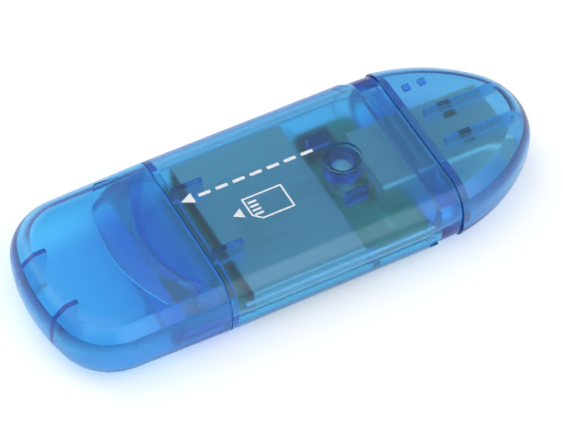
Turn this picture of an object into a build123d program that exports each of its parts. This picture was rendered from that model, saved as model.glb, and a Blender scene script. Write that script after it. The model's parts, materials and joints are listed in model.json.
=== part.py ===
"""Pocket memory card reader: a two-shell body with a plug at one end and a card slot at the other.

A push-on cap covers each end. Frame, in millimetres: X runs along the reader with the plug
towards +X, Y across it, Z up. The origin is at the middle of the underside.
"""

import math
import os

from build123d import *

# Outer form; the overall length, width and height follow from what the housing holds
SIDE_FLAT = 1.0  # half of the upright band left between the two edge roundings
NOSE_LENGTH = 21.0  # pointed stretch of the plug end, in plan
NOSE_TIP_RADIUS = 10.4
CARD_END_BOW = 31.0  # radius of the shallow bow of the card end, in plan
CARD_CORNER = 9.0  # corner radius of the card end, in plan
NOSE_DROP = 0.7  # how far each flat face of a cap comes in at its far end
CARD_DROP = 0.8

# Caps and the necks that they push on to
CARD_CAP_LENGTH = 24.5
PLUG_CAP_LENGTH = 18.3
CAP_WALL = 1.5  # at the cap's mouth
CAVITY_CHAMFER = 1.6  # along the inner edges of a cap
CAP_CLEARANCE = 0.15  # between a cap's inside and its neck
JOINT_GAP = 0.15  # between a cap's mouth and the body's shoulder
NECK_WALL = 1.1
CARD_NECK_LENGTH = 6.2  # upper lip of the slot, at its middle
LOWER_LIP_LENGTH = 8.2
LIP_SLOPE = 50.0  # degrees that the neck's sides lean back above the slot's lower lip
PLUG_NECK_LENGTH = 1.7
END_WALL = 1.2  # wall across the end of a neck
SHOULDER = 1.3  # thickness of the step from the body's wall to the card neck
PLUG_SHOULDER = 3.0  # the same at the plug's end

# Thumb ramp on the card cap, cut round an upright axis
GRIP_AXIS_IN = 36.5  # distance of that axis from the card end
GRIP_INNER = 18.7
GRIP_OUTER = 23.7
GRIP_DEPTH = 0.6

# Ribs inside the caps
CARD_RIB_SPACING = 10.4
CARD_RIB_LENGTH = 5.4  # from the outside of the card end
CARD_RIB_THICKNESS = 0.8
PLUG_RIB_SPACING = 6.2
PLUG_RIB_THICKNESS = 0.9
PLUG_RIB_START = 3.4  # from the cap's mouth
RIB_CLEARANCE = 0.15  # between a rib and what it steadies
RIB_ROOT = 0.3  # depth to which a rib runs into a cap's wall
STOP_SIDE = 1.1  # small square stops under the nose cap's ceiling
STOP_HEIGHT = 0.5
STOP_ASIDE = 8.4  # from the cap's middle
STOPS_FROM_MOUTH = (3.4, 6.0)

# Body shells
BODY_WALL = 1.4
PARTING_GAP = 0.12
LIP_THICKNESS = 0.6
LIP_HEIGHT = 0.8
LIP_CLEARANCE = 0.05
LIP_INSET = 2.5  # from each end of the body
COLLAR_INSET = 0.35  # step down from the body to the collar beside the plug cap
COLLAR_WIDTH = 1.9  # at the middle of the collar
COLLAR_BOW = 33.5  # radius of the body's bowed end, in plan
DIMPLE_RADIUS = 2.9  # shallow dish over the lamp
DIMPLE_DEPTH = 0.35
TUBE_RADIUS = 2.8  # lamp tube under the dish
TUBE_BORE = 1.75
TUBE_STANDOFF = 4.3  # lower end of the tube above the board
HOLD_RIB_LENGTH = 3.5  # pair of ribs that flank the lamp
HOLD_RIB_THICKNESS = 0.9
HOLD_RIB_SPACING = 11.7
HOLD_RIB_AHEAD = 0.9  # how far it runs past the lamp's axis
HOLD_RIB_STANDOFF = 4.2  # lower edge above the board
FRONT_RIB_LENGTH = 4.8  # pair of ribs that bear on the card socket
FRONT_RIB_THICKNESS = 1.0
FRONT_RIB_SPACING = 12.8
GUIDE_SPACING = 18.0  # rails under the card, behind the slot
GUIDE_THICKNESS = 1.0

# Circuit board
BOARD_THICKNESS = 1.0
BOARD_SIDE_GAP = 0.15  # from the rounded wall beside it
BOARD_END_GAP = 0.6  # from the inside of each shoulder
BOARD_CORNER = 1.5
UNDER_BOARD = 0.85  # space below the board
FREE_BOARD = 7.1  # between the socket and the plug
LEDGE_WIDTH = 1.4
LEDGE_LENGTH = 19.0
PEG_LENGTH = 1.2  # pegs in notches of the board's sides
PEG_DEPTH = 0.6
PEG_CLEARANCE = 0.1
PEG_FROM_SOCKET = 1.4
PEG_RISE = 0.8  # above the board

# Lamp
LAMP_RADIUS = 1.5
LAMP_FLANGE = 1.85
LAMP_FLANGE_HEIGHT = 0.9
LAMP_HEIGHT = 5.3
LAMP_CROWN = 2.6  # radius of its domed top
LAMP_STANDOFF = 0.3
LAMP_FROM_SOCKET = 3.5
LAMP_LEAD = 0.5
LAMP_LEAD_PITCH = 1.9
LAMP_LEAD_TAIL = 0.3  # below the board
LAMP_LEAD_PLAY = 0.15

# Plug
PLUG_WIDTH = 12.0
PLUG_HEIGHT = 4.5
PLUG_SHEET = 0.3
PLUG_CORNER = 0.6
PLUG_EXPOSED = 11.8
PLUG_LENGTH = 21.6
PLUG_FIT = 0.05  # round the plug where it passes the end wall
WINDOW_LENGTH = 2.0
WINDOW_WIDTH = 2.5
WINDOW_SPACING = 5.6
WINDOW_FROM_TIP = 5.2
TONGUE_THICKNESS = 1.9
TONGUE_SETBACK = 0.7  # from the plug's tip
TONGUE_BLOCK = 8.6  # full-height stretch at the rear
TONGUE_FIT = 0.04
CONTACT_WIDTH = 1.0
CONTACT_THICKNESS = 0.25
CONTACT_PITCHES = (-3.5, -1.0, 1.0, 3.5)
CONTACT_SETBACKS = (1.4, 2.4, 2.4, 1.4)  # from the tongue's tip
CONTACT_TAIL = 1.6  # beyond the plug's rear
CONTACT_FOOT = 0.9

# Card socket
CARD_WIDTH = 24.0
CARD_THICKNESS = 2.1
CARD_SIDE_PLAY = 0.15
CARD_HEIGHT_PLAY = 0.4
SOCKET_LENGTH = 17.8
SOCKET_FROM_BOARD_FRONT = 2.3
SOCKET_FLOOR = 0.6
SOCKET_WALL = 0.7
SOCKET_REAR = 3.0  # block that anchors the contacts
COVER_SHEET = 0.25
COVER_FIT = 0.05
COVER_LIFT = 0.15  # lower edge of the cover's sides above the board
SOCKET_SIDE_GAP = 0.45  # from the cover's side to the body's wall
SLOT_PLAY = 0.15  # the body's slot stands this far outside the card space

# Card contacts
CARD_CONTACTS = 9
CARD_CONTACT_PITCH = 2.5
CARD_CONTACT_WIDTH = 0.8
CARD_CONTACT_SHEET = 0.2
CARD_CONTACT_REACH = 8.1  # tip to the rear of the socket
CARD_CONTACT_RISE = 0.4  # contact point above the socket's floor
CARD_CONTACT_TAIL = 0.7
CHANNEL_PLAY = 0.06
SWITCH_SHEET = 0.2
SWITCH_HEIGHT = 1.2
SWITCH_BULGE = 0.4
SWITCH_LENGTH = 8.0
SWITCH_FROM_REAR = 4.2
SWITCH_POCKET = 0.5

# Parts soldered to the board
CHIP_SIDE = 5.0
CHIP_HEIGHT = 1.4
CHIP_STANDOFF = 0.1
CHIP_CHAMFER = 0.25
CHIP_LEADS = 8  # along each side
CHIP_PITCH = 0.5
CHIP_LEAD_WIDTH = 0.22
CHIP_LEAD_SHEET = 0.13
CHIP_LEAD_REACH = 1.0
CHIP_AHEAD = 0.9  # past the lamp's axis
CHIP_EDGE_GAP = 0.1  # from the leads to the board's side
CRYSTAL_SIZE = (3.2, 2.5, 0.7)
CRYSTAL_ROUND = 0.5
CRYSTAL_GAP = 0.4  # from the chip's leads
CRYSTAL_PLUG_GAP = 1.0
CHIP_PART_SIZE = (1.6, 0.8)  # length and width of a chip capacitor or resistor
CAPACITOR_HEIGHT = 0.55
RESISTOR_HEIGHT = 0.4
# places under the board, past the lamp's axis and in from the board's other side
CAPACITOR_PLACES = ((-1.4, 4.3), (-1.4, 2.1), (3.4, 4.3), (3.4, 2.1))
RESISTOR_PLACES = ((1.0, 4.3), (1.0, 2.1), (5.8, 4.3))

# Overall sizes
SOCKET_HALF = CARD_WIDTH / 2 + CARD_SIDE_PLAY + SOCKET_WALL
COVER_HALF = SOCKET_HALF + COVER_FIT + COVER_SHEET
WIDTH = 2 * (COVER_HALF + SOCKET_SIDE_GAP + BODY_WALL)
HEIGHT = PLUG_HEIGHT + 2 * (BOARD_THICKNESS + UNDER_BOARD + BODY_WALL)
PLUG_INSIDE = PLUG_LENGTH - PLUG_EXPOSED - PLUG_NECK_LENGTH
SOCKET_STATION = CARD_CAP_LENGTH + SHOULDER + BOARD_END_GAP + SOCKET_FROM_BOARD_FRONT
PLUG_STATION = SOCKET_STATION + SOCKET_LENGTH + FREE_BOARD
LENGTH = PLUG_STATION + PLUG_INSIDE + PLUG_CAP_LENGTH
EDGE_ROUND = HEIGHT / 2 - SIDE_FLAT

# Stations along the reader
CARD_END = -LENGTH / 2
NOSE_TIP = LENGTH / 2
BODY_CARD_END = CARD_END + CARD_CAP_LENGTH
BODY_PLUG_END = NOSE_TIP - PLUG_CAP_LENGTH
CARD_NECK_TIP = BODY_CARD_END - CARD_NECK_LENGTH
LOWER_LIP_TIP = BODY_CARD_END - LOWER_LIP_LENGTH
PLUG_NECK_TIP = BODY_PLUG_END + PLUG_NECK_LENGTH
HOLLOW_CARD_END = BODY_CARD_END + SHOULDER
HOLLOW_PLUG_END = BODY_PLUG_END - PLUG_SHOULDER
BOARD_FRONT = HOLLOW_CARD_END + BOARD_END_GAP
BOARD_REAR = HOLLOW_PLUG_END - BOARD_END_GAP
SOCKET_FRONT = CARD_END + SOCKET_STATION
SOCKET_BACK = SOCKET_FRONT + SOCKET_LENGTH
PEG_X = SOCKET_BACK + PEG_FROM_SOCKET
LAMP_X = SOCKET_BACK + LAMP_FROM_SOCKET
PLUG_REAR = CARD_END + PLUG_STATION
PLUG_TIP = PLUG_REAR + PLUG_LENGTH
GRIP_AXIS = CARD_END + GRIP_AXIS_IN
CARD_NECK_RADIUS = GRIP_AXIS - CARD_NECK_TIP
FAR = LENGTH  # reaches past the reader from any place in it

# Levels
PARTING = HEIGHT / 2
FLOOR = BODY_WALL
CEILING = HEIGHT - BODY_WALL
PLUG_BOTTOM = PARTING - PLUG_HEIGHT / 2
PLUG_TOP = PARTING + PLUG_HEIGHT / 2
BOARD_TOP = PLUG_BOTTOM
BOARD_BOTTOM = BOARD_TOP - BOARD_THICKNESS
CARD_BOTTOM = BOARD_TOP + SOCKET_FLOOR
CARD_TOP = CARD_BOTTOM + CARD_THICKNESS + CARD_HEIGHT_PLAY
COVER_TOP = CARD_TOP + COVER_SHEET

# Half widths
CARD_HALF = CARD_WIDTH / 2 + CARD_SIDE_PLAY
NECK_INSET = CAP_WALL + CAP_CLEARANCE
NECK_BORE_INSET = NECK_INSET + NECK_WALL
INNER_ROUND = EDGE_ROUND - BODY_WALL
ROUNDED_IN = INNER_ROUND - math.sqrt(INNER_ROUND**2 - (INNER_ROUND - UNDER_BOARD) ** 2)
BOARD_HALF = WIDTH / 2 - BODY_WALL - ROUNDED_IN - BOARD_SIDE_GAP


def block(x0, x1, y0, y1, z0, z1):
    """Box between two corners."""
    middle = Pos((x0 + x1) / 2, (y0 + y1) / 2, (z0 + z1) / 2)
    return middle * Box(abs(x1 - x0), abs(y1 - y0), abs(z1 - z0))


def pillar(x, y, radius, z0, z1):
    """Upright cylinder between two levels."""
    return Pos(x, y, (z0 + z1) / 2) * Cylinder(radius, z1 - z0)


def both_sides(shape):
    """A shape and its mirror image across the reader's middle plane."""
    return [shape, mirror(shape, about=Plane.XZ)]


def plan_face(inset):
    """Outline from above, brought in by inset: bowed card end, straight sides and a nose of three arcs."""
    half = WIDTH / 2 - inset
    bow = CARD_END_BOW - inset
    end = CARD_END + inset
    corner_x = end + bow - math.sqrt(bow**2 - half**2)
    nose = NOSE_LENGTH - inset
    tip = NOSE_TIP_RADIUS - inset
    start = NOSE_TIP - NOSE_LENGTH
    flank = ((nose - tip) ** 2 + half**2 - tip**2) / (2 * (half - tip))
    lean = math.atan2(flank - half, nose - tip)  # direction in which flank and tip arcs meet
    meet_x = start + nose - tip + tip * math.cos(lean)
    meet_y = tip * math.sin(lean)
    middle = (lean + math.pi / 2) / 2
    flank_x = start + flank * math.cos(middle)
    flank_y = half - flank + flank * math.sin(middle)
    with BuildSketch() as sketch:
        with BuildLine():
            ThreePointArc((corner_x, -half), (end, 0), (corner_x, half))
            Line((corner_x, half), (start, half))
            ThreePointArc((start, half), (flank_x, flank_y), (meet_x, meet_y))
            ThreePointArc((meet_x, meet_y), (start + nose, 0), (meet_x, -meet_y))
            ThreePointArc((meet_x, -meet_y), (flank_x, -flank_y), (start, -half))
            Line((start, -half), (corner_x, -half))
        make_face()
        corners = sketch.vertices().sort_by(Axis.X)[:2]
        fillet(corners, CARD_CORNER - inset)
    return sketch.sketch


def outer_form(inset=0.0):
    """The level, rounded form of the housing, brought in by inset on every side."""
    solid = Pos(0, 0, inset) * extrude(plan_face(inset), HEIGHT - 2 * inset)
    levels = solid.edges().group_by(Axis.Z)
    return fillet(levels[0] + levels[-1], EDGE_ROUND - inset)


def tapered_form(pivot, length, drop):
    """The outer form with both flat faces leaning in from a pivot station, by drop at the end of length."""
    lean = math.degrees(math.asin(drop / length))
    upper = Pos(0, 0, -PARTING) * extrude(plan_face(0), HEIGHT)
    upper = fillet(upper.edges().group_by(Axis.Z)[-1], EDGE_ROUND)
    turn = lean if pivot > 0 else -lean
    upper = Pos(pivot, 0, PARTING) * Rot(0, turn, 0) * Pos(-pivot, 0, 0) * upper
    upper &= block(-FAR, FAR, -WIDTH, WIDTH, PARTING, 2 * HEIGHT)
    return upper + mirror(upper, about=Plane.XY.offset(PARTING))


def cap_cavity(wall):
    """The space inside a cap of a wall thickness, with chamfered edges."""
    solid = Pos(0, 0, wall) * extrude(plan_face(wall), HEIGHT - 2 * wall)
    levels = solid.edges().group_by(Axis.Z)
    return chamfer(levels[0] + levels[-1], CAVITY_CHAMFER)


FORM = outer_form()
CAVITY = cap_cavity(CAP_WALL)
RIB_FORM = cap_cavity(CAP_WALL - RIB_ROOT)
BODY_INSIDE = outer_form(BODY_WALL)
COLLAR_FORM = outer_form(COLLAR_INSET)
NECK_FORM = outer_form(NECK_INSET)
NECK_BORE = outer_form(NECK_BORE_INSET)


def slab(x0, x1):
    """Everything between two stations along the reader."""
    return block(x0, x1, -WIDTH, WIDTH, -HEIGHT, 2 * HEIGHT)


def card_cap():
    """Cap over the card slot: thin-walled, ribbed at its end, with a curved thumb ramp on top."""
    mouth = BODY_CARD_END - JOINT_GAP
    cap = tapered_form(BODY_CARD_END, CARD_CAP_LENGTH, CARD_DROP) & slab(-FAR, mouth)
    cap -= CAVITY
    rib_y = CARD_RIB_SPACING / 2
    half_rib = CARD_RIB_THICKNESS / 2
    rib = block(-FAR, CARD_END + CARD_RIB_LENGTH, rib_y - half_rib, rib_y + half_rib, 0, HEIGHT)
    for web in both_sides(RIB_FORM & rib):
        cap += web

    def top_level(radius):
        behind = BODY_CARD_END - (GRIP_AXIS - radius)
        return HEIGHT - CARD_DROP * behind / CARD_CAP_LENGTH

    with BuildSketch(Plane.XZ) as ramp:
        with BuildLine():
            Polyline(
                (GRIP_INNER, top_level(GRIP_INNER)),
                (GRIP_OUTER, top_level(GRIP_OUTER) - GRIP_DEPTH),
                (GRIP_OUTER, HEIGHT + GRIP_DEPTH),
                (GRIP_INNER, HEIGHT + GRIP_DEPTH),
                close=True,
            )
        make_face()
    return cap - Pos(GRIP_AXIS, 0, 0) * revolve(ramp.sketch, Axis.Z)


def plug_cap():
    """Nose cap over the plug, with two pairs of ribs that steady the plug's shell."""
    mouth = BODY_PLUG_END + JOINT_GAP
    cap = tapered_form(BODY_PLUG_END, PLUG_CAP_LENGTH, NOSE_DROP) & slab(mouth, FAR)
    cap -= CAVITY
    rib_y = PLUG_RIB_SPACING / 2
    half_rib = PLUG_RIB_THICKNESS / 2
    start = mouth + PLUG_RIB_START
    upper = block(start, FAR, rib_y - half_rib, rib_y + half_rib, PLUG_TOP + RIB_CLEARANCE, HEIGHT)
    lower = block(start, FAR, rib_y - half_rib, rib_y + half_rib, 0, PLUG_BOTTOM - RIB_CLEARANCE)
    for rib in both_sides(RIB_FORM & upper) + both_sides(RIB_FORM & lower):
        cap += rib
    half_stop = STOP_SIDE / 2
    ceiling = HEIGHT - CAP_WALL
    for from_mouth in STOPS_FROM_MOUTH:
        x = mouth + from_mouth
        cap += block(
            x - half_stop,
            x + half_stop,
            STOP_ASIDE - half_stop,
            STOP_ASIDE + half_stop,
            ceiling - STOP_HEIGHT,
            ceiling + RIB_ROOT,
        )
    return cap


def plug_neck(inset, tip):
    """Straight rounded block that a plug cap slides over, or its bore, up to a station."""
    wide = plan_face(inset) & Pos(PLUG_NECK_TIP, 0) * Rectangle(JOINT_GAP, WIDTH)
    half = wide.bounding_box().max.Y
    section = RectangleRounded(2 * half, HEIGHT - 2 * inset, EDGE_ROUND - inset)
    plane = Plane(origin=(HOLLOW_PLUG_END, 0, PARTING), x_dir=(0, 1, 0), z_dir=(1, 0, 0))
    return extrude(plane * section, tip - HOLLOW_PLUG_END)


def card_neck():
    """Neck round the card slot: a bowed upper lip, a longer lower lip and sides that lean between them."""
    neck = NECK_FORM & slab(LOWER_LIP_TIP, HOLLOW_CARD_END)
    rise = HEIGHT - CARD_BOTTOM
    lean = rise / math.tan(math.radians(LIP_SLOPE))
    with BuildSketch(Plane.XZ) as ahead:
        with BuildLine():
            Polyline(
                (LOWER_LIP_TIP, CARD_BOTTOM),
                (LOWER_LIP_TIP + lean, HEIGHT),
                (LOWER_LIP_TIP, HEIGHT),
                close=True,
            )
        make_face()
    cut = extrude(ahead.sketch, WIDTH, both=True)
    upper_lip = Pos(GRIP_AXIS, 0, 0) * Cylinder(CARD_NECK_RADIUS, 4 * HEIGHT)
    return neck - (cut - upper_lip)


def body_walls():
    """Hollow body before it is split: main wall, bowed collar and the two necks."""
    bow_axis = BODY_PLUG_END - COLLAR_WIDTH - COLLAR_BOW
    bowed_end = Pos(bow_axis, 0, 0) * Cylinder(COLLAR_BOW, 4 * HEIGHT)
    main = FORM & slab(BODY_CARD_END, BODY_PLUG_END) & bowed_end
    collar = COLLAR_FORM & slab(BODY_CARD_END + SHOULDER, BODY_PLUG_END)
    walls = main + collar + plug_neck(NECK_INSET, PLUG_NECK_TIP) + card_neck()
    walls -= BODY_INSIDE & slab(HOLLOW_CARD_END, HOLLOW_PLUG_END)
    round_inside = Pos(GRIP_AXIS, 0, 0) * Cylinder(CARD_NECK_RADIUS - END_WALL, 4 * HEIGHT)
    walls -= NECK_BORE & slab(CARD_END, 0) & round_inside
    walls -= plug_neck(NECK_BORE_INSET, PLUG_NECK_TIP - END_WALL)
    slot_half = CARD_HALF + SLOT_PLAY
    slot_bottom = CARD_BOTTOM - SLOT_PLAY
    slot_top = CARD_TOP + SLOT_PLAY
    walls -= block(CARD_END, HOLLOW_CARD_END, -slot_half, slot_half, slot_bottom, slot_top)
    plug_half = PLUG_WIDTH / 2 + PLUG_FIT
    walls -= block(0, NOSE_TIP, -plug_half, plug_half, PLUG_BOTTOM - PLUG_FIT, PLUG_TOP + PLUG_FIT)
    return walls


WALLS = body_walls()
LIP_START = BODY_CARD_END + LIP_INSET
LIP_END = BODY_PLUG_END - COLLAR_WIDTH - LIP_INSET


def side_lip(clearance):
    """The strips along the lower shell's inner edge that locate the upper shell."""
    outer = WIDTH / 2 - BODY_WALL + LIP_THICKNESS + clearance
    inner = WIDTH / 2 - BODY_WALL - clearance
    top = PARTING + LIP_HEIGHT + clearance
    strip = block(LIP_START - clearance, LIP_END + clearance, inner, outer, PARTING - PARTING_GAP, top)
    return both_sides(strip)


def upper_shell():
    """Upper half of the body, with the lamp's dish and tube and short ribs."""
    shell = WALLS & block(-FAR, FAR, -WIDTH, WIDTH, PARTING + PARTING_GAP / 2, 2 * HEIGHT)
    for strip in side_lip(LIP_CLEARANCE):
        shell -= strip
    anchor = HEIGHT - BODY_WALL / 2  # ribs and tube run half a wall deep into the shell
    tube = pillar(LAMP_X, 0, TUBE_RADIUS, BOARD_TOP + TUBE_STANDOFF, anchor)
    shell += tube - pillar(LAMP_X, 0, TUBE_BORE, 0, CEILING)
    hold_y = HOLD_RIB_SPACING / 2
    hold = block(
        LAMP_X + HOLD_RIB_AHEAD - HOLD_RIB_LENGTH,
        LAMP_X + HOLD_RIB_AHEAD,
        hold_y - HOLD_RIB_THICKNESS / 2,
        hold_y + HOLD_RIB_THICKNESS / 2,
        BOARD_TOP + HOLD_RIB_STANDOFF,
        anchor,
    )
    front_y = FRONT_RIB_SPACING / 2
    front = block(
        HOLLOW_CARD_END - SHOULDER / 2,
        HOLLOW_CARD_END + FRONT_RIB_LENGTH,
        front_y - FRONT_RIB_THICKNESS / 2,
        front_y + FRONT_RIB_THICKNESS / 2,
        COVER_TOP + RIB_CLEARANCE,
        anchor,
    )
    for rib in both_sides(hold) + both_sides(front):
        shell += rib
    return shell - pillar(LAMP_X, 0, DIMPLE_RADIUS, HEIGHT - DIMPLE_DEPTH, 2 * HEIGHT)


def board_peg(play):
    """Peg that stands in a notch of the board's side, or the notch, opened by play."""
    half = PEG_LENGTH / 2 + play
    inner = BOARD_HALF - PEG_DEPTH - play
    return block(PEG_X - half, PEG_X + half, inner, WIDTH / 2, FLOOR / 2, BOARD_TOP + PEG_RISE)


def lower_shell():
    """Lower half of the body: board ledges, pegs, card guide rails and the lip."""
    shell = WALLS & block(-FAR, FAR, -WIDTH, WIDTH, -HEIGHT, PARTING - PARTING_GAP / 2)
    for strip in side_lip(0):
        shell += strip
    inner = BOARD_HALF - LEDGE_WIDTH
    ledge = block(BOARD_REAR - LEDGE_LENGTH, BOARD_REAR, inner, WIDTH / 2, 0, BOARD_BOTTOM)
    front_ledge = block(HOLLOW_CARD_END - SHOULDER / 2, SOCKET_FRONT, inner, WIDTH / 2, 0, BOARD_BOTTOM)
    for rib in both_sides(FORM & ledge) + both_sides(FORM & front_ledge) + both_sides(FORM & board_peg(0)):
        shell += rib
    guide_y = GUIDE_SPACING / 2
    half_guide = GUIDE_THICKNESS / 2
    guide = block(
        CARD_NECK_TIP,
        HOLLOW_CARD_END,
        guide_y - half_guide,
        guide_y + half_guide,
        NECK_INSET + NECK_WALL / 2,
        CARD_BOTTOM - SLOT_PLAY,
    )
    guide &= Pos(GRIP_AXIS, 0, 0) * Cylinder(CARD_NECK_RADIUS - END_WALL / 2, 4 * HEIGHT)
    for rail in both_sides(guide):
        shell += rail
    return shell


def lamp_lead(play):
    """One square lead of the lamp, or its hole in the board, opened by play."""
    half = LAMP_LEAD / 2 + play
    lead_y = LAMP_LEAD_PITCH / 2
    bottom = BOARD_BOTTOM - LAMP_LEAD_TAIL
    top = BOARD_TOP + LAMP_STANDOFF
    return block(LAMP_X - half, LAMP_X + half, lead_y - half, lead_y + half, bottom, top)


def circuit_board():
    """Board with notches for the pegs and holes for the lamp's leads."""
    middle = (BOARD_FRONT + BOARD_REAR) / 2
    outline = Pos(middle, 0) * RectangleRounded(BOARD_REAR - BOARD_FRONT, 2 * BOARD_HALF, BOARD_CORNER)
    board = Pos(0, 0, BOARD_BOTTOM) * extrude(outline, BOARD_THICKNESS)
    for opening in both_sides(board_peg(PEG_CLEARANCE)) + both_sides(lamp_lead(LAMP_LEAD_PLAY)):
        board -= opening
    return board


def lamp():
    """Round lamp with a flange and a domed top."""
    base = BOARD_TOP + LAMP_STANDOFF
    crown = math.sqrt(LAMP_CROWN**2 - LAMP_RADIUS**2)
    dome = base + LAMP_HEIGHT - LAMP_CROWN  # centre of the domed top
    half_angle = math.degrees(math.acos(LAMP_RADIUS / LAMP_CROWN))
    with BuildSketch(Plane.XZ) as half:
        with BuildLine():
            Polyline(
                (0, base + LAMP_HEIGHT),
                (0, base),
                (LAMP_FLANGE, base),
                (LAMP_FLANGE, base + LAMP_FLANGE_HEIGHT),
                (LAMP_RADIUS, base + LAMP_FLANGE_HEIGHT),
                (LAMP_RADIUS, dome + crown),
            )
            CenterArc((0, dome), LAMP_CROWN, half_angle, 90 - half_angle)
        make_face()
    return Pos(LAMP_X, 0, 0) * revolve(half.sketch, Axis.Z)


def lamp_leads():
    """The lamp's two leads, through the board."""
    return Compound(children=both_sides(lamp_lead(0)))


def plug_section(inset):
    """Rounded rectangle across the plug, brought in by inset."""
    corner = max(PLUG_CORNER - inset, PLUG_CORNER / 4)
    return RectangleRounded(PLUG_WIDTH - 2 * inset, PLUG_HEIGHT - 2 * inset, corner)


def along_plug(section, x0, x1):
    """A plug section extruded between two stations, centred on the plug's axis."""
    plane = Plane(origin=(x0, 0, PARTING), x_dir=(0, 1, 0), z_dir=(1, 0, 0))
    return extrude(plane * section, x1 - x0)


def plug_shell():
    """Folded steel shell of the plug, with two latch windows above and two below."""
    shell = along_plug(plug_section(0), PLUG_REAR, PLUG_TIP)
    shell -= along_plug(plug_section(PLUG_SHEET), PLUG_REAR - 1, PLUG_TIP + 1)
    front = PLUG_TIP - WINDOW_FROM_TIP
    window_y = WINDOW_SPACING / 2
    half = WINDOW_WIDTH / 2
    window = block(front - WINDOW_LENGTH, front, window_y - half, window_y + half, 0, HEIGHT)
    for opening in both_sides(window):
        shell -= opening
    return shell


TONGUE_TIP = PLUG_TIP - TONGUE_SETBACK
TONGUE_BOTTOM = PLUG_BOTTOM + PLUG_SHEET + TONGUE_FIT
TONGUE_TOP = TONGUE_BOTTOM + TONGUE_THICKNESS


def plug_contact(index, play=0.0):
    """One of the plug's contacts: flat along the tongue, then down to a foot on the board."""
    tip = TONGUE_TIP - CONTACT_SETBACKS[index]
    tail = PLUG_REAR - CONTACT_TAIL
    y = CONTACT_PITCHES[index]
    half = CONTACT_THICKNESS / 2
    level = TONGUE_TOP - half
    foot = BOARD_TOP + half
    with BuildSketch(Plane.XZ) as strip:
        with BuildLine() as path:
            Polyline(
                (tip, level),
                (PLUG_REAR - CONTACT_TAIL / 2, level),
                (PLUG_REAR - CONTACT_TAIL / 2, foot),
                (tail - CONTACT_FOOT, foot),
            )
        trace(path.line, CONTACT_THICKNESS + 2 * play)
    width = CONTACT_WIDTH + 2 * play
    return Pos(0, y, 0) * extrude(strip.sketch, width / 2, both=True)


def plug_tongue():
    """Insulator: a thin tongue under the contacts and a block that fills the plug's rear."""
    inset = PLUG_SHEET + TONGUE_FIT
    inside = along_plug(plug_section(inset), PLUG_REAR, TONGUE_TIP)
    over = block(PLUG_REAR + TONGUE_BLOCK, FAR, -WIDTH, WIDTH, TONGUE_TOP, HEIGHT)
    tongue = inside - over
    for index in range(len(CONTACT_PITCHES)):
        tongue -= plug_contact(index, CHANNEL_PLAY)
    return tongue


def card_contact(index, play=0.0):
    """One of the socket's spring contacts, from a foot on the board to a raised contact point."""
    y = (index - (CARD_CONTACTS - 1) / 2) * CARD_CONTACT_PITCH
    half = CARD_CONTACT_SHEET / 2
    low = BOARD_TOP + half
    peak = CARD_BOTTOM + CARD_CONTACT_RISE - half
    tip = SOCKET_BACK - CARD_CONTACT_REACH
    rear = SOCKET_BACK - SOCKET_REAR
    rise = (rear - tip) / 2
    with BuildSketch(Plane.XZ) as strip:
        with BuildLine() as path:
            Polyline(
                (SOCKET_BACK + CARD_CONTACT_TAIL, low),
                (rear, low),
                (rear - rise, peak),
                (rear - rise - 4 * CARD_CONTACT_SHEET, peak),
                (tip, CARD_BOTTOM - half),
            )
        trace(path.line, CARD_CONTACT_SHEET + 2 * play)
    width = CARD_CONTACT_WIDTH + 2 * play
    return Pos(0, y, 0) * extrude(strip.sketch, width / 2, both=True)


def switch_spring(side):
    """Side spring that feels the card: side +1 senses its presence, -1 its write lock."""
    base = CARD_HALF + SWITCH_SHEET
    end = SOCKET_BACK - SWITCH_FROM_REAR
    middle = end - SWITCH_LENGTH / 2
    with BuildSketch() as strip:
        with BuildLine() as path:
            Polyline(
                (end, base),
                (middle + SWITCH_LENGTH / 4, base),
                (middle, base - SWITCH_BULGE),
                (middle - SWITCH_LENGTH / 4, base),
                (end - SWITCH_LENGTH, base),
            )
        trace(path.line, SWITCH_SHEET)
    level = (CARD_BOTTOM + CARD_TOP - SWITCH_HEIGHT) / 2
    spring = Pos(0, 0, level) * extrude(strip.sketch, SWITCH_HEIGHT)
    return spring if side > 0 else mirror(spring, about=Plane.XZ)


def socket_frame():
    """Insulating frame of the card socket: floor, side walls and the contacts' anchor block."""
    frame = block(SOCKET_FRONT, SOCKET_BACK, -SOCKET_HALF, SOCKET_HALF, BOARD_TOP, CARD_TOP)
    rear = SOCKET_BACK - SOCKET_REAR
    frame -= block(CARD_END, rear, -CARD_HALF, CARD_HALF, CARD_BOTTOM, HEIGHT)
    well_half = CARD_CONTACT_WIDTH / 2 + CARD_CONTACT_SHEET
    tip = SOCKET_BACK - CARD_CONTACT_REACH - CARD_CONTACT_SHEET
    for index in range(CARD_CONTACTS):
        y = (index - (CARD_CONTACTS - 1) / 2) * CARD_CONTACT_PITCH
        frame -= block(tip, rear, y - well_half, y + well_half, 0, CARD_TOP)
        frame -= card_contact(index, CHANNEL_PLAY)
    end = SOCKET_BACK - SWITCH_FROM_REAR + CARD_CONTACT_SHEET
    pocket = block(
        end - SWITCH_LENGTH - 2 * CARD_CONTACT_SHEET,
        end,
        CARD_HALF - SWITCH_SHEET,
        CARD_HALF + SWITCH_POCKET,
        (CARD_BOTTOM + CARD_TOP - SWITCH_HEIGHT) / 2,
        CARD_TOP,
    )
    for opening in both_sides(pocket):
        frame -= opening
    return frame


def socket_cover():
    """Stamped cover folded over the frame."""
    bottom = BOARD_TOP + COVER_LIFT
    cover = block(SOCKET_FRONT, SOCKET_BACK, -COVER_HALF, COVER_HALF, bottom, COVER_TOP)
    long_edges = cover.edges().filter_by(Axis.X).group_by(Axis.Z)[-1]
    cover = fillet(long_edges, COVER_SHEET)
    inner_half = COVER_HALF - COVER_SHEET
    return cover - block(-FAR, FAR, -inner_half, inner_half, 0, CARD_TOP)


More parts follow.
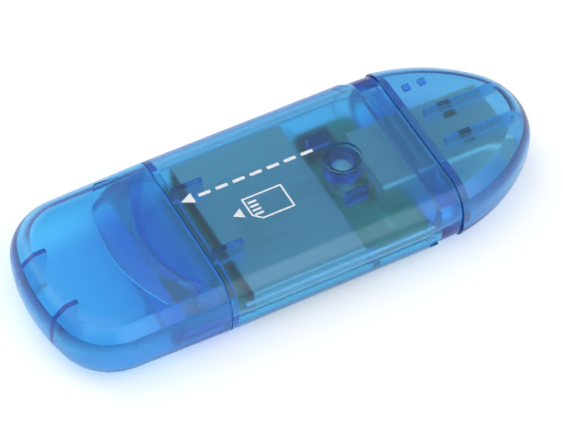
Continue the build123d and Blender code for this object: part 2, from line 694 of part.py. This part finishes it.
CHIP_X = LAMP_X + CHIP_AHEAD
CHIP_REACH = CHIP_SIDE / 2 + CHIP_LEAD_REACH
CHIP_Y = BOARD_HALF - CHIP_EDGE_GAP - CHIP_REACH


def controller_chip():
    """Square moulded chip package with chamfered rims."""
    bottom = BOARD_TOP + CHIP_STANDOFF
    half = CHIP_SIDE / 2
    body = block(CHIP_X - half, CHIP_X + half, CHIP_Y - half, CHIP_Y + half, bottom, bottom + CHIP_HEIGHT)
    rims = body.edges().group_by(Axis.Z)
    return chamfer(rims[0] + rims[-1], CHIP_CHAMFER)


def controller_leads():
    """Gull-wing leads on the four sides of the chip."""
    level = BOARD_TOP + CHIP_STANDOFF + CHIP_HEIGHT / 2
    foot = BOARD_TOP + CHIP_LEAD_SHEET / 2
    start = CHIP_SIDE / 2
    with BuildSketch(Plane.XZ) as strip:
        with BuildLine() as path:
            Polyline(
                (start, level),
                (start + CHIP_LEAD_REACH / 3, level),
                (start + CHIP_LEAD_REACH / 2, foot),
                (start + CHIP_LEAD_REACH, foot),
            )
        trace(path.line, CHIP_LEAD_SHEET)
    lead = extrude(strip.sketch, CHIP_LEAD_WIDTH / 2, both=True)
    leads = []
    for turn in range(4):
        for index in range(CHIP_LEADS):
            along = (index - (CHIP_LEADS - 1) / 2) * CHIP_PITCH
            leads.append(Pos(CHIP_X, CHIP_Y, 0) * Rot(0, 0, 90 * turn) * Pos(0, along, 0) * lead)
    return Compound(children=leads)


def crystal():
    """Low metal can of the clock crystal, rounded in plan."""
    length, width, height = CRYSTAL_SIZE
    can = extrude(RectangleRounded(length, width, CRYSTAL_ROUND), height)
    x = CHIP_X + CHIP_REACH + CRYSTAL_GAP + length / 2
    return Pos(x, PLUG_WIDTH / 2 + CRYSTAL_PLUG_GAP + width / 2, BOARD_BOTTOM - height) * can


def chip_part(place, height):
    """Chip capacitor or resistor under the board, at one of the places above."""
    ahead, from_side = place
    length, width = CHIP_PART_SIZE
    middle = Pos(LAMP_X + ahead, from_side - BOARD_HALF, BOARD_BOTTOM - height / 2)
    return middle * Box(length, width, height)


def sub_parts():
    """Every sub-part by its name."""
    parts = {
        "card_cap": card_cap(),
        "plug_cap": plug_cap(),
        "upper_shell": upper_shell(),
        "lower_shell": lower_shell(),
        "circuit_board": circuit_board(),
        "activity_lamp": lamp(),
        "lamp_leads": lamp_leads(),
        "plug_shell": plug_shell(),
        "plug_tongue": plug_tongue(),
        "socket_frame": socket_frame(),
        "socket_cover": socket_cover(),
        "card_detect_spring": switch_spring(1),
        "write_lock_spring": switch_spring(-1),
        "controller_chip": controller_chip(),
        "controller_leads": controller_leads(),
        "clock_crystal": crystal(),
    }
    for index in range(len(CONTACT_PITCHES)):
        parts[f"plug_contact_{index + 1}"] = plug_contact(index)
    for index in range(CARD_CONTACTS):
        parts[f"card_contact_{index + 1}"] = card_contact(index)
    for index, place in enumerate(CAPACITOR_PLACES):
        parts[f"capacitor_{index + 1}"] = chip_part(place, CAPACITOR_HEIGHT)
    for index, place in enumerate(RESISTOR_PLACES):
        parts[f"resistor_{index + 1}"] = chip_part(place, RESISTOR_HEIGHT)
    return parts


os.makedirs("parts", exist_ok=True)
for name, shape in sub_parts().items():
    export_step(shape, f"parts/{name}.step")
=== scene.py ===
import json
import math

import bmesh
import bpy
from mathutils import Matrix, Vector


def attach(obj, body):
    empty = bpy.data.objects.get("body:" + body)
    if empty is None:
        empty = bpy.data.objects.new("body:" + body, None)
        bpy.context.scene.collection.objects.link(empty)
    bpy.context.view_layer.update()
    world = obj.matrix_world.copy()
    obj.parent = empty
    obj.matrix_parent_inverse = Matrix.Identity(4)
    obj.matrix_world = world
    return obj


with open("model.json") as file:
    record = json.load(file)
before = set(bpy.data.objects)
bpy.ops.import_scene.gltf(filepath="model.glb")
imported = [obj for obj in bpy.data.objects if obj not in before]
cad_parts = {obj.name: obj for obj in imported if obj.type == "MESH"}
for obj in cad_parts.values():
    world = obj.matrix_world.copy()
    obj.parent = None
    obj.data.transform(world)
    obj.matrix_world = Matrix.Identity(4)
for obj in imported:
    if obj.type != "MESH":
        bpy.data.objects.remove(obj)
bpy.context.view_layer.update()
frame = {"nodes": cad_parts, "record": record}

# Looks of the memory card reader: materials for the CAD nodes, print, table, light and camera.
# Boxes and printed marks are given in mm.
MM = 0.001

# Camera, in the photograph's frame
PHOTO_WIDTH = 563
CAMERA_AZIMUTH = math.radians(-27.97)
CAMERA_ELEVATION = math.radians(49.70)
CAMERA_DISTANCE = 450 * MM
CAMERA_TARGET = Vector((0, 0, 5 * MM))
PIXELS_PER_METRE = 6943  # at the target
TARGET_RIGHT_PX = -0.7  # where the target lies from the frame's centre
TARGET_UP_PX = 3.9
SENSOR = 36.0
CLIP_START = 0.01

# Studio: a lit white table in dim white surroundings, with soft square panels
SURROUND = 0.5
TABLE_GLOW = 0.18
TABLE_HALF = 3.0
TABLE_TONES = ((0.94, 0.94, 0.94), (0.96, 0.96, 0.96))
PANELS = {  # place, side in metres and watts
    "overhead": ((-0.35, 0.1, 0.8), 1.0, 2.6),
    "front": ((0.3, -0.7, 0.6), 1.0, 4.5),
    "back": ((-0.2, 0.85, 0.3), 0.8, 3.0),
}
BOUNCES = 32
GLOSSY_BOUNCES = 16
TRANSPARENT_BOUNCES = 48

# Tinted plastic: how fast it takes up red, green and blue, per metre, and what its skin lets pass
CAP_TINT = (780.0, 205.0, 64.0)
LOWER_TINT = (780.0, 130.0, 24.0)
UPPER_TINT = (460.0, 195.0, 62.0)  # nose cap too
ABSORPTION_DENSITY = 800.0
PLASTIC_TONE = (0.60, 0.90, 1.0)
PAINTED_DEEP_SHADE = (0.03, 0.30, 1.0)  # painted shade: deeper blue on the lamp tube, the ribs beside it and the stops
PAINTED_RIB_SHADE = (0.38, 0.76, 1.0)  # painted shade: a lighter deep blue on the other ribs
PLASTIC_CLEAR = 0.97  # share of the light that goes through instead of being scattered back
PLASTIC_IOR = 1.45
PLASTIC_ROUGHNESS = (0.18, 0.25)

# Painted shade: boxes round the ribs, the lamp tube and the stops, clear of the walls they stand
# on; inside them a deeper blue is painted into the plastic's skin colour in place of light running
# through thick plastic
SHELL_SHADE_BOXES = [
    (((6.5, 13.5), (-7.5, 7.5), (6.5, 9.5)), PAINTED_DEEP_SHADE),
    (((-14.0, -9.0), (-7.5, 7.5), (6.5, 9.5)), PAINTED_RIB_SHADE),
]
NOSE_SHADE_BOXES = [
    (((25.0, 36.0), (-3.7, 3.7), (7.7, 9.4)), PAINTED_RIB_SHADE),
    (((22.5, 33.0), (7.6, 9.2), (8.8, 9.4)), PAINTED_DEEP_SHADE),
]
BOX_FADE = 0.04  # over which a box's tone ends

# Circuit board: lacquer, tracks and a pale printed line beside the plug
LACQUER_TONES = ((0.010, 0.25, 0.14), (0.012, 0.29, 0.165))
TRACK_TONE = (0.05, 0.46, 0.26)
TRACK_LENGTH = 5.2
TRACK_PITCH = 0.9
TRACK_WIDTH = 0.11
TRACK_SHIFT = 0.35  # from row to row, as a share of the length
BOARD_LINE = ((12.95, 13.15), (-9.6, -4.2), (3.0, 3.5))
BOARD_LINE_TONE = (0.40, 0.55, 0.48)

# Other tones
LAMP_TONES = ((0.42, 0.42, 0.35), (0.60, 0.60, 0.52))
INK_TONES = ((0.64, 0.70, 0.74), (0.82, 0.86, 0.89))
TINNED_END = (0.75, 0.74, 0.71)
ROLLED_GRAIN = (60, 4000, 4000)  # waves per metre along X, Y and Z
GRAIN_SHADE = 0.86
NOISE_LOW, NOISE_HIGH = 0.3, 0.7  # where most noise values lie

# White print on the top face: a dashed arrow towards the card slot, and a card outline below it
READER = "reader"
PRINT_LEVEL = 11.0  # the top face
PRINT_FILM = 0.02
PRINT_LINE = 0.28
ARROW_Y = 3.2
ARROW_TIP_X = -14.3
ARROW_HEAD = (1.9, 2.0)  # length and width
DASH = (1.9, 0.55)
DASH_PITCH = 2.75
DASHES = 7
CARD_MIDDLE = (-3.4, -2.6)
CARD_OUTLINE = (6.4, 4.6)
CARD_CUT = 1.2  # cut-off corner
CUT_SHARE = 0.6  # how much the cut shortens with the line's width
BAR = (1.35, 0.38)
BAR_MARGIN = 1.1  # from the card's long side to the first bar's middle
BAR_PITCH = 0.78
BARS = 4
POINTER_GAP = 0.9
POINTER = (1.5, 1.9)


def new_material(name):
    """An empty node material with its Principled shader."""
    material = bpy.data.materials.new(name)
    material.use_nodes = True
    shader = material.node_tree.nodes["Principled BSDF"]
    return material, material.node_tree, shader


def coordinates(tree, scale=(1, 1, 1), kind="Object"):
    """Texture coordinates stretched by scale."""
    source = tree.nodes.new("ShaderNodeTexCoord")
    mapping = tree.nodes.new("ShaderNodeMapping")
    mapping.inputs["Scale"].default_value = scale
    tree.links.new(source.outputs[kind], mapping.inputs["Vector"])
    return mapping.outputs["Vector"]


def split(tree, vector):
    """Outputs X, Y and Z of a vector."""
    node = tree.nodes.new("ShaderNodeSeparateXYZ")
    tree.links.new(vector, node.inputs["Vector"])
    return node.outputs


def noise(tree, vector, scale, detail=3.0):
    """Noise value at a scale in waves per metre."""
    node = tree.nodes.new("ShaderNodeTexNoise")
    node.inputs["Scale"].default_value = scale
    node.inputs["Detail"].default_value = detail
    tree.links.new(vector, node.inputs["Vector"])
    return node.outputs["Fac"]


def spread(tree, value, low, high, start=NOISE_LOW, end=NOISE_HIGH):
    """A value in start..end spread over low..high."""
    node = tree.nodes.new("ShaderNodeMapRange")
    node.inputs["From Min"].default_value = start
    node.inputs["From Max"].default_value = end
    node.inputs["To Min"].default_value = low
    node.inputs["To Max"].default_value = high
    tree.links.new(value, node.inputs["Value"])
    return node.outputs["Result"]


def colour_between(tree, value, first, second):
    """A colour ramp from first to second."""
    node = tree.nodes.new("ShaderNodeValToRGB")
    ends = node.color_ramp.elements
    for end, position, colour in zip(ends, (NOISE_LOW, NOISE_HIGH), (first, second)):
        end.position = position
        end.color = (*colour, 1)
    tree.links.new(value, node.inputs["Fac"])
    return node.outputs["Color"]


def bump(tree, shader, height, strength, depth):
    """Bump from a height value, depth in metres."""
    node = tree.nodes.new("ShaderNodeBump")
    node.inputs["Strength"].default_value = strength
    node.inputs["Distance"].default_value = depth
    tree.links.new(height, node.inputs["Height"])
    tree.links.new(node.outputs["Normal"], shader.inputs["Normal"])


def calculate(tree, operation, first, second=None):
    """Result of a Math node; an operand is a socket or a number."""
    node = tree.nodes.new("ShaderNodeMath")
    node.operation = operation
    for slot, operand in zip(node.inputs, (first, second)):
        if isinstance(operand, (int, float)):
            slot.default_value = operand
        elif operand is not None:
            tree.links.new(operand, slot)
    return node.outputs["Value"]


def distance(tree, value, middle):
    """How far a value lies from the middle, either way."""
    return calculate(tree, "ABSOLUTE", calculate(tree, "SUBTRACT", value, middle))


def inside(tree, box):
    """1 inside a box given in mm in the piece's own frame."""
    place = split(tree, coordinates(tree))
    share = None
    for axis, (low, high) in zip("XYZ", box):
        reach = (high - low) / 2 * MM
        away = distance(tree, place[axis], (low + high) / 2 * MM)
        part = spread(tree, away, 1, 0, reach, reach + BOX_FADE * MM)
        share = part if share is None else calculate(tree, "MULTIPLY", share, part)
    return share


def blend(tree, slot, share, colour):
    """Lays a colour over what a colour socket has, by a share from 0 to 1."""
    node = tree.nodes.new("ShaderNodeMixRGB")
    tree.links.new(share, node.inputs["Fac"])
    if slot.is_linked:
        tree.links.new(slot.links[0].from_socket, node.inputs["Color1"])
    else:
        node.inputs["Color1"].default_value = slot.default_value
    node.inputs["Color2"].default_value = (*colour, 1)
    tree.links.new(node.outputs["Color"], slot)


def pass_lamplight(tree, shader, output):
    """Lets light from the lamps go straight through a clear shader, tinted."""
    passing = tree.nodes.new("ShaderNodeBsdfTransparent")
    passing.inputs["Color"].default_value = (*[math.sqrt(c) for c in PLASTIC_TONE], 1)
    path = tree.nodes.new("ShaderNodeLightPath")
    either = tree.nodes.new("ShaderNodeMixShader")
    tree.links.new(path.outputs["Is Shadow Ray"], either.inputs["Fac"])
    tree.links.new(shader.outputs["BSDF"], either.inputs[1])
    tree.links.new(passing.outputs["BSDF"], either.inputs[2])
    tree.links.new(either.outputs["Shader"], output.inputs["Surface"])


def absorb(tree, output, tint):
    """Takes up light inside a piece, by an amount per metre for each colour."""
    body = tree.nodes.new("ShaderNodeVolumeAbsorption")
    body.inputs["Density"].default_value = ABSORPTION_DENSITY
    passed = [1 - a / ABSORPTION_DENSITY for a in tint]
    body.inputs["Color"].default_value = (*passed, 1)
    tree.links.new(body.outputs["Volume"], output.inputs["Volume"])


def tinted_plastic(name, tint, shade_boxes=()):
    """Translucent blue moulded plastic, a little milky; in the given boxes a deeper blue is painted
    into the skin colour as shade of light running through thick ribs.
    """
    material, tree, shader = new_material(name)
    skin = shader.inputs["Base Color"]
    skin.default_value = (*PLASTIC_TONE, 1)
    # painted shade: a deeper blue laid over the skin colour inside each box
    for box, tone in shade_boxes:
        blend(tree, skin, inside(tree, box), tone)
    shader.inputs["Transmission Weight"].default_value = PLASTIC_CLEAR
    shader.inputs["IOR"].default_value = PLASTIC_IOR
    place = coordinates(tree)
    handling = noise(tree, place, scale=180, detail=4)
    tree.links.new(spread(tree, handling, *PLASTIC_ROUGHNESS), shader.inputs["Roughness"])
    waves = noise(tree, place, scale=420, detail=2)
    bump(tree, shader, waves, strength=0.15, depth=0.03 * MM)
    output = tree.nodes["Material Output"]
    pass_lamplight(tree, shader, output)
    absorb(tree, output, tint)
    return material


def solder_mask():
    """Green board lacquer with copper tracks showing as lighter lines."""
    material, tree, shader = new_material("solder_mask")
    place = coordinates(tree)
    tracks = tree.nodes.new("ShaderNodeTexBrick")
    tracks.offset = TRACK_SHIFT
    settings = {
        "Scale": 1.0,
        "Brick Width": TRACK_LENGTH * MM,
        "Row Height": TRACK_PITCH * MM,
        "Mortar Size": TRACK_WIDTH * MM,
        "Color1": (*LACQUER_TONES[0], 1),
        "Color2": (*LACQUER_TONES[1], 1),
        "Mortar": (*TRACK_TONE, 1),
    }
    for socket, value in settings.items():
        tracks.inputs[socket].default_value = value
    tree.links.new(place, tracks.inputs["Vector"])
    tree.links.new(tracks.outputs["Color"], shader.inputs["Base Color"])
    blend(tree, shader.inputs["Base Color"], inside(tree, BOARD_LINE), BOARD_LINE_TONE)
    gloss = spread(tree, noise(tree, place, scale=900), 0.25, 0.42)
    tree.links.new(gloss, shader.inputs["Roughness"])
    bump(tree, shader, tracks.outputs["Fac"], strength=0.4, depth=0.03 * MM)
    return material


def plated_metal(name, base, rough):
    """Plated sheet with a fine rolled grain along X."""
    material, tree, shader = new_material(name)
    shader.inputs["Metallic"].default_value = 1.0
    lines = noise(tree, coordinates(tree, ROLLED_GRAIN), scale=1.0, detail=2)
    darker = tuple(GRAIN_SHADE * c for c in base)
    tree.links.new(colour_between(tree, lines, darker, base), shader.inputs["Base Color"])
    tree.links.new(spread(tree, lines, rough - 0.07, rough + 0.1), shader.inputs["Roughness"])
    bump(tree, shader, lines, strength=0.2, depth=0.005 * MM)
    return material


def moulded(name, first, second, rough, grain=2500):
    """Opaque moulded plastic with a speckled tone and a fine matte skin."""
    material, tree, shader = new_material(name)
    speckle = noise(tree, coordinates(tree), grain, detail=4)
    tree.links.new(colour_between(tree, speckle, first, second), shader.inputs["Base Color"])
    tree.links.new(spread(tree, speckle, rough - 0.08, rough + 0.08), shader.inputs["Roughness"])
    bump(tree, shader, speckle, strength=0.25, depth=0.01 * MM)
    return material


def chip_part(name, body):
    """Chip component: coloured body between two tinned ends."""
    material, tree, shader = new_material(name)
    along = split(tree, coordinates(tree, kind="Generated"))["X"]
    ends = spread(tree, distance(tree, along, 0.5), 0, 1, 0.27, 0.29)
    tree.links.new(colour_between(tree, ends, body, TINNED_END), shader.inputs["Base Color"])
    tree.links.new(spread(tree, ends, 0, 0.9, 0, 1), shader.inputs["Metallic"])
    speckle = noise(tree, coordinates(tree), scale=4000)
    tree.links.new(spread(tree, speckle, 0.3, 0.5), shader.inputs["Roughness"])
    return material


def milky_lamp():
    """Diffused lamp: milky resin that takes up a little light from all round."""
    material, tree, shader = new_material("milky_lamp")
    cloud = noise(tree, coordinates(tree), scale=1500)
    tree.links.new(colour_between(tree, cloud, *LAMP_TONES), shader.inputs["Base Color"])
    shader.inputs["Subsurface Weight"].default_value = 0.4
    shader.inputs["Subsurface Radius"].default_value = (0.8, 0.8, 0.7)
    shader.inputs["Subsurface Scale"].default_value = 0.5 * MM
    shader.inputs["Roughness"].default_value = 0.2
    return material


def printing_ink():
    """White printed film, a little uneven and matte."""
    material, tree, shader = new_material("printing_ink")
    patch = noise(tree, coordinates(tree), scale=2200, detail=4)
    tree.links.new(colour_between(tree, patch, *INK_TONES), shader.inputs["Base Color"])
    tree.links.new(spread(tree, patch, 0.42, 0.6), shader.inputs["Roughness"])
    bump(tree, shader, patch, strength=0.2, depth=0.01 * MM)
    return material


def slot_materials():
    """One material for each slot of the record."""
    return {
        "translucent_blue": tinted_plastic("tinted_plastic", CAP_TINT),
        "board_green": solder_mask(),
        "lamp_milk": milky_lamp(),
        "tinned_metal": plated_metal("tinned_metal", (0.78, 0.77, 0.74), 0.34),
        "plated_steel": plated_metal("plated_steel", (0.76, 0.72, 0.64), 0.42),
        "insulator_white": moulded(
            "insulator_white", (0.70, 0.70, 0.66), (0.82, 0.82, 0.78), 0.45
        ),
        "insulator_black": moulded(
            "insulator_black", (0.022, 0.030, 0.030), (0.042, 0.052, 0.050), 0.5
        ),
        "gold_contact": plated_metal("gold_contact", (0.86, 0.62, 0.26), 0.24),
        "chip_black": moulded(
            "chip_black", (0.016, 0.016, 0.018), (0.040, 0.040, 0.043), 0.55, grain=6000
        ),
        "capacitor_tan": chip_part("capacitor_tan", (0.42, 0.28, 0.16)),
        "resistor_black": chip_part("resistor_black", (0.02, 0.02, 0.025)),
    }


def own_plastics():
    """Materials of pieces whose plastic looks another depth of blue in the photograph."""
    return {
        # the upper shell and the nose cap carry painted shade in their rib boxes
        "upper_shell": tinted_plastic("tinted_upper", UPPER_TINT, SHELL_SHADE_BOXES),
        "lower_shell": tinted_plastic("tinted_lower", LOWER_TINT),
        "plug_cap": tinted_plastic("tinted_nose", UPPER_TINT, NOSE_SHADE_BOXES),
    }


def dress_nodes():
    """Gives every CAD node its own material, or that of its slot in the record."""
    by_slot = slot_materials()
    by_node = own_plastics()
    for entry in frame["record"]["subparts"]:
        piece = frame["nodes"][entry["node"]]
        piece.data.materials.clear()
        piece.data.materials.append(by_node.get(entry["node"], by_slot[entry["material_slot"]]))


def place_object(name, data):
    """Puts a new object into the scene."""
    piece = bpy.data.objects.new(name, data)
    bpy.context.collection.objects.link(piece)
    return piece


def rectangle(x, y, length, width):
    """Corners of a rectangle about a middle."""
    a, b = length / 2, width / 2
    return [(x - a, y - b), (x + a, y - b), (x + a, y + b), (x - a, y + b)]


def pointer(tip_x, y, length, width):
    """Corners of a triangle that points towards the card slot."""
    return [(tip_x, y), (tip_x + length, y - width / 2), (tip_x + length, y + width / 2)]


def card_loop(inset):
    """Corners of the card's outline with one corner cut off, brought in by inset."""
    cut = CARD_CUT - CUT_SHARE * inset
    x, y = CARD_MIDDLE
    length, width = CARD_OUTLINE
    corner, *others = rectangle(x, y, length - 2 * inset, width - 2 * inset)
    return [(corner[0] + cut, corner[1]), *others, (corner[0], corner[1] + cut)]


def film(mesh, loop, hole=None):
    """Adds one patch of print to a mesh, or a band between two loops."""
    low, high = PRINT_LEVEL * MM, (PRINT_LEVEL + PRINT_FILM) * MM

    def ring(points):
        return [[mesh.verts.new((x * MM, y * MM, z)) for x, y in points] for z in (low, high)]

    def sides(bottom, top):
        for i in range(len(bottom)):
            j = (i + 1) % len(bottom)
            mesh.faces.new((bottom[i], bottom[j], top[j], top[i]))

    bottom, top = ring(loop)
    sides(bottom, top)
    if hole is None:
        mesh.faces.new(top)
        mesh.faces.new(bottom[::-1])
        return
    inner_bottom, inner_top = ring(hole)
    sides(inner_bottom[::-1], inner_top[::-1])
    for i in range(len(top)):
        j = (i + 1) % len(top)
        mesh.faces.new((top[i], top[j], inner_top[j], inner_top[i]))
        mesh.faces.new((bottom[j], bottom[i], inner_bottom[i], inner_bottom[j]))


def slot_marks():
    """Printed marks for putting in a card: a dashed arrow, a pointer and a card with contacts."""
    mesh = bmesh.new()
    film(mesh, pointer(ARROW_TIP_X, ARROW_Y, *ARROW_HEAD))
    first_dash = ARROW_TIP_X + ARROW_HEAD[0] + DASH_PITCH - DASH[0] / 2
    for i in range(DASHES):
        film(mesh, rectangle(first_dash + i * DASH_PITCH, ARROW_Y, *DASH))
    film(mesh, card_loop(0), card_loop(PRINT_LINE))
    x, y = CARD_MIDDLE
    card_end = x - CARD_OUTLINE[0] / 2
    bar_x = card_end + 2 * PRINT_LINE + BAR[0] / 2
    first_bar = y + CARD_OUTLINE[1] / 2 - BAR_MARGIN
    for i in range(BARS):
        film(mesh, rectangle(bar_x, first_bar - i * BAR_PITCH, *BAR))
    film(mesh, pointer(card_end - POINTER_GAP - POINTER[0], y, *POINTER))
    data = bpy.data.meshes.new("slot_marks")
    mesh.to_mesh(data)
    mesh.free()
    data.materials.append(printing_ink())
    marks = place_object("slot_marks", data)
    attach(marks, READER)


def studio_floor():
    """Wide pale table, lit from inside."""
    half = TABLE_HALF
    corners = [(-half, -half, 0), (half, -half, 0), (half, half, 0), (-half, half, 0)]
    mesh = bpy.data.meshes.new("floor")
    mesh.from_pydata(corners, [], [(0, 1, 2, 3)])
    floor = place_object("floor", mesh)
    material, tree, shader = new_material("floor")
    tone = noise(tree, coordinates(tree), scale=6)
    tree.links.new(colour_between(tree, tone, *TABLE_TONES), shader.inputs["Base Color"])
    shader.inputs["Roughness"].default_value = 0.8
    shader.inputs["Emission Color"].default_value = (1, 1, 1, 1)
    shader.inputs["Emission Strength"].default_value = TABLE_GLOW
    mesh.materials.append(material)


def lamp_panel(name, place, side, watts):
    """Square soft light that faces the reader."""
    data = bpy.data.lights.new(name, "AREA")
    data.shape = "SQUARE"
    data.size = side
    data.energy = watts
    lamp = place_object(name, data)
    lamp.location = place
    lamp.rotation_euler = (-Vector(place)).to_track_quat("-Z", "Y").to_euler()


def studio_light():
    """Dim white surroundings with soft panels overhead, in front and behind."""
    world = bpy.data.worlds.new("studio")
    world.use_nodes = True
    background = world.node_tree.nodes["Background"]
    background.inputs["Color"].default_value = (1, 1, 1, 1)
    background.inputs["Strength"].default_value = SURROUND
    bpy.context.scene.world = world
    for name, panel in PANELS.items():
        lamp_panel(name, *panel)


def camera():
    """Long-lens camera at the photograph's angle."""
    a, e = CAMERA_AZIMUTH, CAMERA_ELEVATION
    right = Vector((math.cos(a), math.sin(a), 0))
    back = Vector((math.sin(a) * math.cos(e), -math.cos(a) * math.cos(e), math.sin(e)))
    up = back.cross(right)
    data = bpy.data.cameras.new("camera")
    data.sensor_width = SENSOR
    data.lens = SENSOR * PIXELS_PER_METRE * CAMERA_DISTANCE / PHOTO_WIDTH
    data.clip_start = CLIP_START
    place = CAMERA_TARGET + back * CAMERA_DISTANCE
    place -= (right * TARGET_RIGHT_PX + up * TARGET_UP_PX) / PIXELS_PER_METRE
    view = place_object("camera", data)
    turn = Matrix((right, up, back)).transposed().to_4x4()
    view.matrix_world = Matrix.Translation(place) @ turn
    bpy.context.scene.camera = view


def light_paths():
    """Enough bounces for light to run along the clear walls and out again."""
    paths = bpy.context.scene.cycles
    paths.max_bounces = BOUNCES
    paths.glossy_bounces = GLOSSY_BOUNCES
    paths.transmission_bounces = BOUNCES
    paths.transparent_max_bounces = TRANSPARENT_BOUNCES


dress_nodes()
slot_marks()
studio_floor()
studio_light()
camera()
light_paths()
bpy.context.scene.view_settings.view_transform = "Standard"
